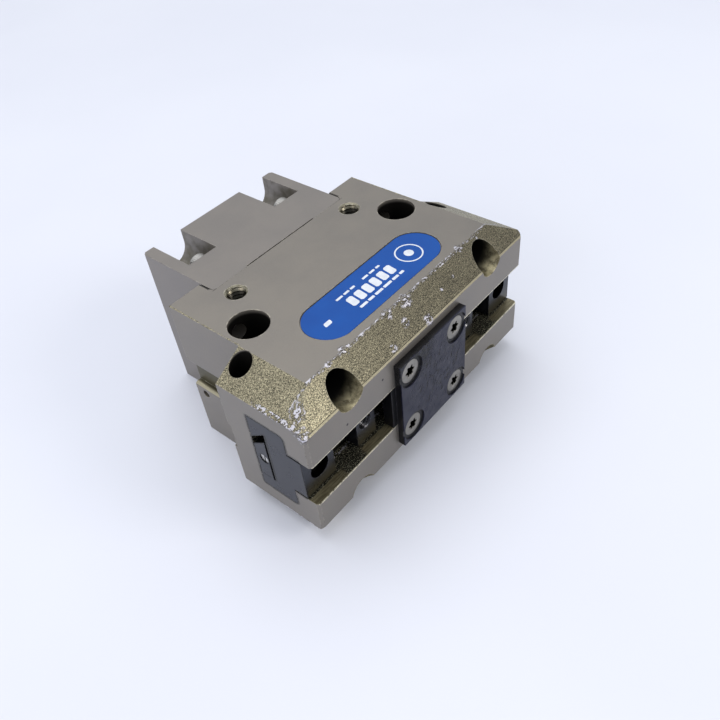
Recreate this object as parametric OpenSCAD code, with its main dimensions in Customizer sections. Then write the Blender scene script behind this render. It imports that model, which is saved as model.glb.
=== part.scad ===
// Two-jaw parallel gripper, air driven, with springs that open the jaws when the air is off.
// It lies on one broad side: +Z is up, the jaws slide along X and the finger side faces -Y.
// Each sub-part is drawn with the front face of the rails at y = 0, and place() moves it so
// that the origin is under the middle of the whole gripper. Sub-parts are drawn jaws open.

/* [Body] */
// Width of the jaw guide, along the jaws
body_w = 100; // [98:1:106]
// Thickness between the two broad faces
body_t = 52; // [51:1:56]
// Depth of the wide jaw guide
guide_d = 31.2; // [30.6:0.2:32]
// Width of the narrow cylinder part
neck_w = 80; // [79:1:82]
// Depth from the rail faces to the back of the housing's ears
housing_d = 59.6; // [59:0.2:62]
// Depth of the chamfer along the front edges
front_chamfer_d = 7.3; // [6:0.1:7.6]
// Height of the chamfer along the front edges
front_chamfer_h = 7.4; // [6.4:0.1:7.8]
// Width of the chamfer along the side edges
side_chamfer_w = 10; // [8:0.5:10]
// Height of the chamfer along the side edges
side_chamfer_h = 5.7; // [4:0.1:6.5]
// Width of the chamfer along the upright front corners
corner_c = 0.8; // [0.4:0.1:2]

/* [Jaw guide] */
// Distance from the rail faces to the front of the T-slot's wide part
slot_y = 8.45; // [8.4:0.01:8.6]
// Depth of the T-slot's wide part
slot_d = 13.3; // [13.2:0.1:13.6]
// Half height of the T-slot's wide part
slot_half = 14.45; // [14.2:0.05:14.6]
// Half height of the gap between the two rails
mouth_half = 7.8; // [7.5:0.1:8.5]
// Distance from the rail faces to the jaws' front
jaw_recess = 3.75; // [3:0.25:4.5]
// Gap round a flat sliding face
slide_gap = 0.05; // [0.03:0.01:0.08]
// Travel of each jaw, and of the piston
stroke = 8; // [5:0.5:8]

/* [Mounting holes] */
// Distance of the front bolt holes from the middle, along X
bolt_x = 32.6; // [32:0.2:33]
// Distance of the front bolt holes from mid thickness
bolt_z = 20; // [20:0.1:20.6]
// Radius of the front bolt holes
bolt_r = 2.75; // [2.5:0.05:3]
// Radius of the front bolt heads' counterbores
bolt_head_r = 4.9; // [4.5:0.1:5]
// Radius of the cross bores' counterbores, square to the broad faces
cross_head_r = 5.9; // [5.5:0.1:6]
// Radius of the cross bores
cross_r = 3.3; // [2.5:0.1:3.5]
// Radius of the tapped mounting holes' cores and of the side bores
tap_r = 3.4; // [2.5:0.1:3.5]

/* [Cover and piston] */
// Width of the rear cover
cover_w = 56; // [54:1:57]
// Depth from the rail faces to the back of the rear cover
total_d = 86.25; // [85:0.25:90]
// Thickness of the dust plate
plate_t = 2.25; // [1.8:0.05:3]
// Radius of the cylinder's round ends
cylinder_r = 17; // [16.5:0.1:17.2]
// Distance of the round ends' centres from the middle
cylinder_x = 6; // [5:0.5:6.5]
// Turns of each opening spring
spring_turns = 7; // [5:1:8]

/* [Hidden] */
$fn = 64;

mid = body_t / 2;
eps = 0.02;
over = 1;
middle_y = (total_d - plate_t) / 2;

// Rear cover and its seat
cover_y = 54;
seat_gap = 0.35;
cover_corner_r = 1.5;
notch_y = 69.4;
notch_r = 5.5;
cover_screw_x = 18.4;
cover_screw_z = 21.5;
screw_gap = 0.05;
m4_r = 2;
m4_head_r = 3.5;
m4_head_h = 4;
m4_hex_r = 1.73;
m4_hex_d = 2;
cover_break = 0.8;
cover_thread_y = 45;
cover_screw_end_y = 46;
seam_half = 14.6;
seam_w = 0.4;
seam_d = 0.5;
seal_groove_w = [1.2, 3.2];
seal_groove_d = 1.4;
seal_w = [1.3, 3.1];
seal_d = 1.35;

// Front counterbores, cross bores and tapped holes
bolt_head_d = 20;
cross_x = 32.5;
cross_y = 35.1;
cross_head_d = 18;
tap_d = 12;
tap_rear = [24.9, 48];
side_hole = [43.3, 27.6];

// Side recess, its clamp hole and the air ports
recess_half = 4.6;
recess_d = 2.2;
recess_edge_r = 1;
clamp_y = 55.4;
clamp_z = 7.4;
clamp_r = 1.3;
clamp_d = 6;
port_r = 2.1;
port_thread_d = 5.5;
alt_thread_d = 8;
port_close = [50.6, 10];
port_open = [46.4, -12];
alt_x = 31.5;
drill_r = 1.25;
front_drill_end = [17.5, 36.6, -9];
rear_drill_end = [19, 53.2, 7];

// Dust plate
plate_w = 31;
plate_h = 32;
block_half_w = 12.6;
block_d = 5.5;
lip_half_w = 17.4;
lip_d = 3.4;
plate_screw_x = 10.7;
plate_screw_z = 11;
ring_r = 4.9;
ring_d = 0.5;
flat_head_r = 3.7;
flat_head_sink = 0.03;
plate_screw_end_y = 7;
plate_thread_d = 7.6;
block_gap = 0.1;
star_r = 1.75;
star_d = 1.8;
star_core = 0.72;
star_lobe_x = 0.76;
star_lobe_r = 0.24;

// Base jaws; x values are counted from the middle, jaws open
jaw_y = slot_y + slide_gap;
jaw_d = slot_d - 2 * slide_gap;
jaw_half = slot_half - slide_gap;
neck_half = 7.3;
tee_break = 1;
jaw_inner_x = 20.9;
jaw_tip_x = stroke + 0.3;
groove_x = [28.7, 38.4];
groove_y = 9;
finger_x = [25, 43.9];
finger_r = 2.5;
finger_end_y = 14.5;
sleeve_r = 3.4;
sleeve_d = 2.5;
cam_l = 9;
cam_y = [16.9, 21.6];
cam_low_z = -9.5;
cam_top_z = [6.5, 3.2];
cam_pocket_y = 16.2;
cam_pocket_z = [10.1, 6.1];
cam_screw_y = 18.8;
cam_screw_z = -1.7;
cam_screw_r = 1.6;
cam_screw_in = 4.5;
cam_screw_sink = 0.3;
cam_screw_hole_d = 5;
cam_screw_slot = [1, 0.25, 2];

// Wedge hook: its flanks and rails lie at 45 degrees, so jaw and piston travel are equal
hook_y = 8.7;
hook_end_y = 21.5;
hook_w0 = 5.5;
hook_half = 12.8;
rail_neck_n = 2.2;
rail_head_n = 4.8;
rail_neck_half = 4.5;
rail_head_half = 8;
rail_max_x = 22;
flank_start = -30;
flank_l = 80;
hook_room_x = 22.5;
hook_room_y = hook_end_y + stroke + 0.5;
rod_r = 7;
rod_gap = 0.04;

// Cylinder, piston and rod gland
chamber_y = 36;
gland_y = 32;
gland_r = 10;
seal_y = [32.1, 34.9];
piston_y = 36.2;
piston_end_y = 45.8;
piston_r = 16.9;
ring_out_r = 16.96;
seal_groove = [37.4, 40.2];
seal_groove_r = 14.4;
guide_groove = [41.6, 44.6];
guide_groove_r = 15.4;
nose_r = 15.9;
m6_r = 3;
m6_head_r = 5;
m6_head_h = 6;
m6_hex_r = 2.9;
m6_hex_d = 3;
hook_screw_y = 25;
hook_screw_head_y = piston_end_y - 0.2 - m6_head_h;
ring_end_gap = 0.1;
ring_bore_gap = 0.05;
retainer_rod_gap = 0.2;
magnet_r = 2.5;
magnet_z = 10;
magnet_d = 3;

// Opening springs
spring_x = 13.5;
spring_mean_r = 6.1;
spring_wire_r = 1;
spring_seat_r = 7.6;
spring_y = [42.6, 80];
spring_sides = 8;
spring_steps = 16;

// Plugs of the ports in the back of the right ear
plug_y = [housing_d - 5.2, housing_d - 0.3];
plug_hex_r = 1.4;
plug_hex_d = 2.5;

// Label
label_half = 19;
label_r = 7.7;
label_y = 18.2;
label_recess_r = 7.95;
label_recess_d = 0.5;
label_t = 0.3;

module place() {
    translate([0, -middle_y, 0]) children();
}

// Extrudes a YZ outline along X, an XZ outline along Y, or an XY outline along Z
module along_x(x0, x1) {
    translate([x0, 0, 0]) rotate([90, 0, 90]) linear_extrude(x1 - x0) children();
}

module along_y(y0, y1) {
    translate([0, y1, 0]) rotate([90, 0, 0]) linear_extrude(y1 - y0) children();
}

module along_z(z0, z1) {
    translate([0, 0, z0]) linear_extrude(z1 - z0) children();
}

module rod_x(y, z, x0, x1, r) {
    translate([x0, y, z]) rotate([0, 90, 0]) cylinder(r = r, h = x1 - x0);
}

module rod_y(x, z, y0, y1, r) {
    translate([x, y1, z]) rotate([90, 0, 0]) cylinder(r = r, h = y1 - y0);
}

module rod_z(x, y, z0, z1, r) {
    translate([x, y, z0]) cylinder(r = r, h = z1 - z0);
}

// A drilling of radius r from point p to point q
module drilling(p, q, r) {
    way = q - p;
    translate(p) rotate([0, acos(way[2] / norm(way)), atan2(way[1], way[0])])
        cylinder(r = r, h = norm(way));
}

module both_sides() {
    children();
    mirror([1, 0, 0]) children();
}

// Repeats a shape at its mirror image through mid thickness
module both_faces() {
    children();
    translate([0, 0, body_t]) mirror([0, 0, 1]) children();
}

module four_corners() {
    both_faces() both_sides() children();
}

module stadium(r, x) {
    circle(r = r);
    for (s = [-1, 1]) translate([s * x, 0]) circle(r = r);
    square([2 * x, 2 * r], center = true);
}

// Piston-shaped outline in XZ, at mid thickness
module cylinder_outline(r) {
    translate([0, mid]) stadium(r, cylinder_x);
}

// T outline in YZ: wide part from y to y + d, neck out to y_front
module tee(y, d, half, neck, y_front) {
    c = tee_break;
    translate([0, mid]) polygon([
        [y_front, -neck], [y, -neck], [y, -half + c], [y + c, -half],
        [y + d, -half], [y + d, half], [y + c, half], [y, half - c],
        [y, neck], [y_front, neck]
    ]);
}

// Jaw guide block: three outlines crossed give the chamfers along all of its front edges
module guide_block() {
    w = body_w / 2;
    t = body_t;
    intersection() {
        along_x(-w, w) polygon([
            [0, front_chamfer_h], [front_chamfer_d, 0], [guide_d, 0],
            [guide_d, t], [front_chamfer_d, t], [0, t - front_chamfer_h]
        ]);
        along_y(0, guide_d) polygon([
            [-w, side_chamfer_h], [-w + side_chamfer_w, 0], [w - side_chamfer_w, 0],
            [w, side_chamfer_h], [w, t - side_chamfer_h], [w - side_chamfer_w, t],
            [-w + side_chamfer_w, t], [-w, t - side_chamfer_h]
        ]);
        along_z(0, t) polygon([
            [-w, corner_c], [-w + corner_c, 0], [w - corner_c, 0], [w, corner_c],
            [w, guide_d], [-w, guide_d]
        ]);
    }
}

module neck_block() {
    along_z(0, body_t) translate([-neck_w / 2, guide_d - over])
        square([neck_w, housing_d - guide_d + over]);
}

// The T-slot right through the width, and the room for the wedge hook behind its middle
module jaw_guide_cut() {
    w = body_w / 2 + over;
    along_x(-w, w) tee(slot_y, slot_d, slot_half, mouth_half, -over);
    translate([-hook_room_x, slot_y + over, mid - slot_half])
        cube([2 * hook_room_x, hook_room_y - slot_y - over, 2 * slot_half]);
}

// Cylinder bore, rod bore and seal gland
module cylinder_cut() {
    along_y(chamber_y, cover_y + eps) cylinder_outline(cylinder_r);
    rod_y(0, mid, hook_room_y - over, chamber_y + over, rod_r + rod_gap);
    rod_y(0, mid, gland_y, chamber_y + over, gland_r);
}

// Holes that repeat at the four corners of the broad faces
module mounting_cut() {
    four_corners() {
        rod_y(bolt_x, mid + bolt_z, -over, bolt_head_d, bolt_head_r);
        rod_y(bolt_x, mid + bolt_z, bolt_head_d - over, housing_d + over, bolt_r);
        rod_z(cross_x, cross_y, body_t - cross_head_d, body_t + over, cross_head_r);
        rod_z(cross_x, cross_y, mid - over, body_t, cross_r);
        rod_z(tap_rear[0], tap_rear[1], body_t - tap_d, body_t + over, tap_r);
        rod_z(side_hole[0], side_hole[1], mid - over, body_t + over, tap_r);
        rod_y(plate_screw_x, mid + plate_screw_z, -over, plate_thread_d, m4_r + screw_gap);
        rod_y(cover_screw_x, mid + cover_screw_z, cover_thread_y, cover_y + over,
            m4_r + screw_gap);
    }
}

// XZ outline of the recess in the right side, with rounded edges
module recess_outline() {
    x = neck_w / 2;
    r = recess_edge_r;
    translate([x - recess_d, -recess_half]) square([recess_d + over, 2 * recess_half]);
    difference() {
        translate([x - r, -recess_half - r]) square([r + over, 2 * (recess_half + r)]);
        for (s = [-1, 1]) translate([x - r, s * (recess_half + r)]) circle(r = r);
    }
}

// Recess along each side of the narrow part, its mark on the guide, and a clamp hole
module side_recess_cut() {
    both_sides() {
        along_y(guide_d, housing_d + over) translate([0, mid]) recess_outline();
        translate([body_w / 2 - over, guide_d - over, mid - recess_half])
            cube([2 * over, 2 * over, 2 * recess_half]);
        rod_x(clamp_y, mid - clamp_z, neck_w / 2 - clamp_d, neck_w / 2 + over, clamp_r);
    }
}

// XY outline of half width w, from the seam of the rear cover to y1, with front corners of radius r
module seat_outline(w, r, y1) {
    translate([-w, cover_y + r]) square([2 * w, y1 - cover_y - r]);
    translate([-w + r, cover_y]) square([2 * (w - r), y1 - cover_y]);
    for (s = [-1, 1]) translate([s * (w - r), cover_y + r]) circle(r = r);
}

// One air port: thread from the side, second thread from the back, and drilling to the bore
module port_cut(port, inner) {
    side = neck_w / 2;
    z = mid + port[1];
    rod_x(port[0], z, side - port_thread_d, side + over, port_r);
    rod_x(port[0], z, alt_x - over, side, drill_r);
    rod_y(alt_x, z, housing_d - alt_thread_d, housing_d + over, port_r);
    rod_y(alt_x, z, port[0], housing_d, drill_r);
    drilling([alt_x, port[0], z], inner + [0, 0, mid], drill_r);
}

module housing() {
    color([0.56, 0.54, 0.5]) place() difference() {
        union() {
            guide_block();
            neck_block();
        }
        jaw_guide_cut();
        cylinder_cut();
        mounting_cut();
        side_recess_cut();
        port_cut(port_close, rear_drill_end);
        port_cut(port_open, front_drill_end);
        // seat of the rear cover between the two ears
        along_z(-over, body_t + over)
            seat_outline(cover_w / 2 + seat_gap, cover_corner_r + seat_gap, housing_d + over);
        // shallow seat of the label
        translate([0, label_y, 0]) along_z(body_t - label_recess_d, body_t + over)
            stadium(label_recess_r, label_half);
    }
}

// Upright round notch with the screw seat at its bottom
module cover_notch() {
    rod_y(cover_screw_x, mid + cover_screw_z, notch_y, total_d + over, notch_r);
    translate([cover_screw_x - notch_r, notch_y, mid + cover_screw_z])
        cube([2 * notch_r, total_d, body_t]);
    rod_y(cover_screw_x, mid + cover_screw_z, cover_y - over, notch_y + over, m4_r + screw_gap);
}

module rear_cover() {
    w = cover_w / 2;
    c = cover_break;
    color([0.57, 0.55, 0.52]) place() difference() {
        along_z(0, body_t) seat_outline(w, cover_corner_r, total_d);
        // chamfers along the upright rear corners
        both_sides() along_z(-over, body_t + over) polygon([
            [w + over, total_d - c - over], [w + over, total_d + over],
            [w - c - over, total_d + over]
        ]);
        four_corners() cover_notch();
        both_sides() rod_y(spring_x, mid, cover_y - over, spring_y[1], spring_seat_r);
        along_y(cover_y - over, cover_y + seal_groove_d) difference() {
            cylinder_outline(cylinder_r + seal_groove_w[1]);
            cylinder_outline(cylinder_r + seal_groove_w[0]);
        }
        // edge break along the middle of the seam with the housing
        both_faces() translate([-seam_half, cover_y - over, body_t - seam_d])
            cube([2 * seam_half, seam_w + over, seam_d + over]);
    }
}

// Face seal of the rear cover
module cover_seal() {
    color([0.06, 0.06, 0.06]) place() along_y(cover_y, cover_y + seal_d) difference() {
        cylinder_outline(cylinder_r + seal_w[1]);
        cylinder_outline(cylinder_r + seal_w[0]);
    }
}

// Socket-head screws of the rear cover
module cover_screws() {
    color([0.78, 0.78, 0.76]) place() four_corners() difference() {
        union() {
            rod_y(cover_screw_x, mid + cover_screw_z, cover_screw_end_y, notch_y + over, m4_r);
            rod_y(cover_screw_x, mid + cover_screw_z, notch_y, notch_y + m4_head_h, m4_head_r);
        }
        translate([cover_screw_x, notch_y + m4_head_h + over, mid + cover_screw_z])
            rotate([90, 0, 0]) cylinder(r = m4_hex_r, h = m4_hex_d + over, $fn = 6);
    }
}

// Countersink of one plate screw, with the shallow ring round its head
module plate_screw_seat() {
    x = plate_screw_x;
    z = mid + plate_screw_z;
    rod_y(x, z, -plate_t - over, -plate_t + ring_d, ring_r);
    rod_y(x, z, -plate_t, over, m4_r + screw_gap);
    translate([x, -plate_t + ring_d - eps, z]) rotate([-90, 0, 0])
        cylinder(r1 = flat_head_r + screw_gap, r2 = m4_r + screw_gap, h = flat_head_r - m4_r);
}

// Dust plate with the block that fills the slot between the jaws
module centre_plate() {
    color([0.14, 0.145, 0.17]) place() difference() {
        union() {
            translate([-plate_w / 2, -plate_t, mid - plate_h / 2])
                cube([plate_w, plate_t, plate_h]);
            translate([-block_half_w, -eps, mid - mouth_half + block_gap])
                cube([2 * block_half_w, block_d, 2 * (mouth_half - block_gap)]);
            translate([-lip_half_w, -eps, mid - mouth_half + block_gap])
                cube([2 * lip_half_w, lip_d, 2 * (mouth_half - block_gap)]);
        }
        four_corners() plate_screw_seat();
    }
}

// Six-lobed drive recess
module star_recess(r) {
    circle(r = r * star_core);
    for (i = [0:5]) rotate(60 * i) translate([r * star_lobe_x, 0])
        circle(r = r * star_lobe_r, $fn = 24);
}

module plate_screws() {
    x = plate_screw_x;
    z = mid + plate_screw_z;
    head_y = -plate_t + ring_d + flat_head_sink;
    color([0.72, 0.71, 0.69]) place() four_corners() difference() {
        union() {
            translate([x, head_y, z]) rotate([-90, 0, 0])
                cylinder(r1 = flat_head_r, r2 = m4_r, h = flat_head_r - m4_r);
            rod_y(x, z, head_y + flat_head_r - m4_r - eps, plate_screw_end_y, m4_r);
        }
        translate([x, 0, z]) along_y(head_y - over, head_y + star_d) star_recess(star_r);
    }
}

// Strip beside the hook's right flank, from distance n0 to n1 out from it
module flank_strip(n0, n1, half) {
    along_z(mid - half, mid + half) translate([hook_w0, hook_y]) rotate(45)
        translate([flank_start, -n1]) square([flank_l, n1 - n0]);
}

// Right-hand base jaw, drawn jaws open; the left one is its mirror image
module base_jaw() {
    w = body_w / 2;
    difference() {
        union() {
            along_x(jaw_inner_x, w) tee(jaw_y, jaw_d, jaw_half, neck_half, jaw_recess);
            along_x(jaw_tip_x, w) tee(jaw_y, jaw_d, jaw_half, neck_half, jaw_y);
        }
        // key groove across the finger face
        translate([groove_x[0], jaw_recess - over, mid - neck_half - over])
            cube([groove_x[1] - groove_x[0], groove_y - jaw_recess + over,
                2 * neck_half + 2 * over]);
        // finger screws and the seat of the locating sleeve
        for (x = finger_x) rod_y(x, mid, jaw_recess - over, finger_end_y, finger_r);
        rod_y(finger_x[1], mid, jaw_recess - over, jaw_recess + sleeve_d, sleeve_r);
        // inclined end face with its T-shaped slot for the hook's rail
        flank_strip(flank_start, slide_gap, jaw_half + over);
        flank_strip(-over, rail_neck_n + over, rail_neck_half + slide_gap);
        flank_strip(rail_neck_n - slide_gap, rail_head_n + slide_gap, rail_head_half + slide_gap);
        // pocket of the switch cam in the outer end, and the hole of its screw
        along_x(w - cam_l - eps, w + over) translate([0, mid]) polygon([
            [cam_pocket_y, cam_low_z - slide_gap], [cam_y[1] + over, cam_low_z - slide_gap],
            [cam_y[1] + over, cam_pocket_z[1]], [cam_y[1], cam_pocket_z[1]],
            [cam_pocket_y, cam_pocket_z[0]]
        ]);
        rod_x(cam_screw_y, mid + cam_screw_z, w - cam_l - cam_screw_hole_d, w,
            cam_screw_r + screw_gap);
    }
}

module base_jaw_left() {
    color([0.3, 0.31, 0.34]) place() mirror([1, 0, 0]) base_jaw();
}

module base_jaw_right() {
    color([0.3, 0.31, 0.34]) place() base_jaw();
}

// Block that a position sensor sees, in the jaw's outer end
module switch_cam() {
    w = body_w / 2;
    difference() {
        along_x(w - cam_l, w) translate([0, mid]) polygon([
            [cam_y[0], cam_low_z], [cam_y[1], cam_low_z], [cam_y[1], cam_top_z[1]],
            [cam_y[0], cam_top_z[0]]
        ]);
        rod_x(cam_screw_y, mid + cam_screw_z, w - cam_l - over, w + over, cam_screw_r + screw_gap);
    }
}

module switch_cam_left() {
    color([0.33, 0.34, 0.37]) place() mirror([1, 0, 0]) switch_cam();
}

module switch_cam_right() {
    color([0.33, 0.34, 0.37]) place() switch_cam();
}

// Slotted clamping screw of a switch cam
module cam_screw() {
    w = body_w / 2;
    difference() {
        rod_x(cam_screw_y, mid + cam_screw_z, w - cam_l - cam_screw_in, w - cam_screw_sink,
            cam_screw_r);
        translate([w, cam_screw_y, mid + cam_screw_z]) cube(2 * cam_screw_slot, center = true);
    }
}

module cam_screw_left() {
    color([0.75, 0.75, 0.73]) place() mirror([1, 0, 0]) cam_screw();
}

module cam_screw_right() {
    color([0.75, 0.75, 0.73]) place() cam_screw();
}

// Wedge body, its two T-shaped inclined rails and the piston rod, in one piece
module wedge_hook() {
    w_end = hook_w0 + hook_end_y - hook_y;
    color([0.62, 0.62, 0.63]) place() difference() {
        union() {
            along_z(mid - hook_half, mid + hook_half) polygon([
                [-hook_w0, hook_y], [hook_w0, hook_y], [w_end, hook_end_y], [-w_end, hook_end_y]
            ]);
            both_sides() intersection() {
                union() {
                    flank_strip(-over, rail_neck_n + over, rail_neck_half);
                    flank_strip(rail_neck_n, rail_head_n, rail_head_half);
                }
                translate([0, hook_y, 0]) cube([rail_max_x, hook_end_y - hook_y, body_t]);
            }
            rod_y(0, mid, hook_end_y - over, piston_y, rod_r);
        }
        rod_y(0, mid, hook_screw_y - over, piston_y + over, m6_r + screw_gap);
    }
}

module hook_screw() {
    head_y = hook_screw_head_y;
    color([0.2, 0.2, 0.21]) place() difference() {
        union() {
            rod_y(0, mid, hook_screw_y, head_y + over, m6_r);
            rod_y(0, mid, head_y, head_y + m6_head_h, m6_head_r);
        }
        translate([0, head_y + m6_head_h + over, mid]) rotate([90, 0, 0])
            cylinder(r = m6_hex_r, h = m6_hex_d + over, $fn = 6);
    }
}

module piston() {
    color([0.7, 0.7, 0.72]) place() difference() {
        union() {
            along_y(piston_y, piston_y + over + eps) cylinder_outline(nose_r);
            along_y(piston_y + over, seal_groove[0]) cylinder_outline(piston_r);
            along_y(seal_groove[0] - eps, seal_groove[1] + eps) cylinder_outline(seal_groove_r);
            along_y(seal_groove[1], guide_groove[0]) cylinder_outline(piston_r);
            along_y(guide_groove[0] - eps, guide_groove[1] + eps) cylinder_outline(guide_groove_r);
            along_y(guide_groove[1], piston_end_y) cylinder_outline(piston_r);
        }
        rod_y(0, mid, piston_y - over, piston_end_y, m6_r + 2 * screw_gap);
        rod_y(0, mid, hook_screw_head_y, piston_end_y + over, m6_head_r + 2 * screw_gap);
        both_sides() rod_y(spring_x, mid, spring_y[0], piston_end_y + over, spring_seat_r);
        both_faces() rod_y(0, mid + magnet_z, piston_end_y - magnet_d, piston_end_y + over,
            magnet_r + screw_gap);
    }
}

// Ring round the piston, from y0 to y1, with its inner radius at the round ends
module piston_ring(y0, y1, inner_r) {
    along_y(y0, y1) difference() {
        cylinder_outline(ring_out_r);
        cylinder_outline(inner_r);
    }
}

module piston_seal() {
    color([0.05, 0.05, 0.05]) place()
        piston_ring(seal_groove[0] + ring_end_gap, seal_groove[1] - ring_end_gap,
            seal_groove_r + ring_bore_gap);
}

module piston_guide_ring() {
    color([0.35, 0.25, 0.16]) place()
        piston_ring(guide_groove[0] + ring_end_gap, guide_groove[1] - ring_end_gap,
            guide_groove_r + ring_bore_gap);
}

// Two disc magnets that position sensors see through the wall
module piston_magnets() {
    color([0.4, 0.4, 0.42]) place() both_faces()
        rod_y(0, mid + magnet_z, piston_end_y - magnet_d + ring_end_gap,
            piston_end_y - ring_end_gap, magnet_r);
}

// Ring on the rod, from y0 to y1
module rod_ring(y0, y1, inner_r, outer_r) {
    difference() {
        rod_y(0, mid, y0, y1, outer_r);
        rod_y(0, mid, y0 - over, y1 + over, inner_r);
    }
}

module rod_seal() {
    color([0.05, 0.05, 0.05]) place()
        rod_ring(seal_y[0], seal_y[1], rod_r + rod_gap, gland_r - ring_bore_gap);
}

module seal_retainer() {
    color([0.65, 0.65, 0.67]) place()
        rod_ring(seal_y[1] + ring_end_gap, chamber_y, rod_r + retainer_rod_gap,
            gland_r - ring_bore_gap);
}

// Coil point i of n, at height y along the spring
function coil_point(i, n, s) = let (
    a = 360 * spring_turns * i / n,
    b = 360 * s / spring_sides,
    r = spring_mean_r + spring_wire_r * cos(b),
    y0 = spring_y[0] + spring_wire_r,
    y1 = spring_y[1] - spring_wire_r
) [r * cos(a), y0 + (y1 - y0) * i / n + spring_wire_r * sin(b), r * sin(a)];

// Helical compression spring, one ring of points for each step along the wire
module opening_spring(x) {
    k = spring_sides;
    n = spring_turns * spring_steps;
    points = [for (i = [0:n]) for (s = [0:k - 1]) coil_point(i, n, s)];
    sides = [
        for (i = [0:n - 1]) for (s = [0:k - 1])
            [i * k + s, i * k + (s + 1) % k, (i + 1) * k + (s + 1) % k, (i + 1) * k + s]
    ];
    start = [for (s = [0:k - 1]) k - 1 - s];
    end = [for (s = [0:k - 1]) n * k + s];
    translate([x, 0, mid]) polyhedron(points, concat([start], sides, [end]), convexity = 10);
}

module opening_spring_left() {
    color([0.45, 0.45, 0.46]) place() opening_spring(-spring_x);
}

module opening_spring_right() {
    color([0.45, 0.45, 0.46]) place() opening_spring(spring_x);
}

// Grub screws that close the two ports in the back of the right ear
module port_plugs() {
    color([0.3, 0.3, 0.31]) place() for (port = [port_close, port_open]) {
        z = mid + port[1];
        difference() {
            rod_y(alt_x, z, plug_y[0], plug_y[1], port_r - screw_gap);
            translate([alt_x, plug_y[1] + over, z]) rotate([90, 0, 0])
                cylinder(r = plug_hex_r, h = plug_hex_d + over, $fn = 6);
        }
    }
}

module type_label() {
    color([0.15, 0.38, 0.75]) place() translate([0, label_y, 0])
        along_z(body_t - label_recess_d, body_t - label_recess_d + label_t)
            stadium(label_r, label_half);
}

housing();
rear_cover();
cover_seal();
cover_screws();
centre_plate();
plate_screws();
base_jaw_left();
base_jaw_right();
switch_cam_left();
switch_cam_right();
cam_screw_left();
cam_screw_right();
wedge_hook();
hook_screw();
piston();
piston_seal();
piston_guide_ring();
piston_magnets();
rod_seal();
seal_retainer();
opening_spring_left();
opening_spring_right();
port_plugs();
type_label();
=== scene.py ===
import math

import bmesh
import bpy
from mathutils import Matrix, Quaternion, Vector


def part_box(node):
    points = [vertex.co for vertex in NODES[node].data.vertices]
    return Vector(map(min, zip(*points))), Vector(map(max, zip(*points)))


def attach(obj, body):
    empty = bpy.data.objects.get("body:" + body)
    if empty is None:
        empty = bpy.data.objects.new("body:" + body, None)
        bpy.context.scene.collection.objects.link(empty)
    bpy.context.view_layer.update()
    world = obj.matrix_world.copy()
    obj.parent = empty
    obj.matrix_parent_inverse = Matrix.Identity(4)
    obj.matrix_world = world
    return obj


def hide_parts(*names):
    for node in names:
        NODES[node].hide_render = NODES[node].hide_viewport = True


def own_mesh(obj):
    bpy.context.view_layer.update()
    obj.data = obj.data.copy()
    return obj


# ---------------------------------------------------------------- frame and sizes
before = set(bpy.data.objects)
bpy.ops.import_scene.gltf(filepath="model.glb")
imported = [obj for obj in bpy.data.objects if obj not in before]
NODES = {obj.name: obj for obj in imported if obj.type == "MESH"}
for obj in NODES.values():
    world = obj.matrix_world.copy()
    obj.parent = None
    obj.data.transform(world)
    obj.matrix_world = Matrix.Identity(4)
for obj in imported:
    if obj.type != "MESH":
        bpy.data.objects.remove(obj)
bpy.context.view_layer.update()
MM = 0.001

# From here on in millimetres. A height is counted from mid thickness and a side from mid width.
LOW, HIGH = (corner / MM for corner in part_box("housing"))
MID = (LOW.z + HIGH.z) / 2
RAIL = LOW.y                       # front face of the two rails
EAR_Y = HIGH.y                     # back of the housing's two ears
SEAM_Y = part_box("rear_cover")[0].y / MM
FACE = 26.0                        # height of the broad faces
END = 50.0                         # side of the guide's ends, and of the open jaws' ends
NECK = 40.0                        # side of the narrow part
COVER_SIDE = 28.0                  # side of the rear cover
MOUTH = 7.8                        # half height of the gap between the rails
SLOT = 14.45                       # half height of the T-slot
FRONT_EDGE = 18.6                  # height of the front chamfer's lower edge
SIDE_EDGE = 20.3                   # the same for the side chamfer
CHAMFER_D = 7.3                    # depth of the front chamfer
JAW_D = 3.75                       # depth of the jaws' front below the rails' front
BOLT, BOLT_HEAD_R = (32.6, 20.0), 4.9      # side and height of the front counterbores
CROSS, CROSS_R = (32.5, -6.9), 5.9         # side and y of the cross bores
TAP, TAP_R = (24.9, 6.0), 3.4              # side and y of the tapped holes
SIDE_HOLE, SIDE_HOLE_R = (43.3, -14.4), 3.4    # the holes in the side chamfers
INNER_HOLE, OUTER_HOLE = 25.0, 43.9        # sides of each jaw's two finger holes
CAM_SIDE, CAM_D = 41.0, (16.2, 21.6)       # inner end and depths of the cam's pocket
CAM_HEIGHT = (-9.5, 10.1)                  # lower and upper end of the cam's pocket
WALL = 0.07                        # how far a mask reaches past the wall it colours


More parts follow.
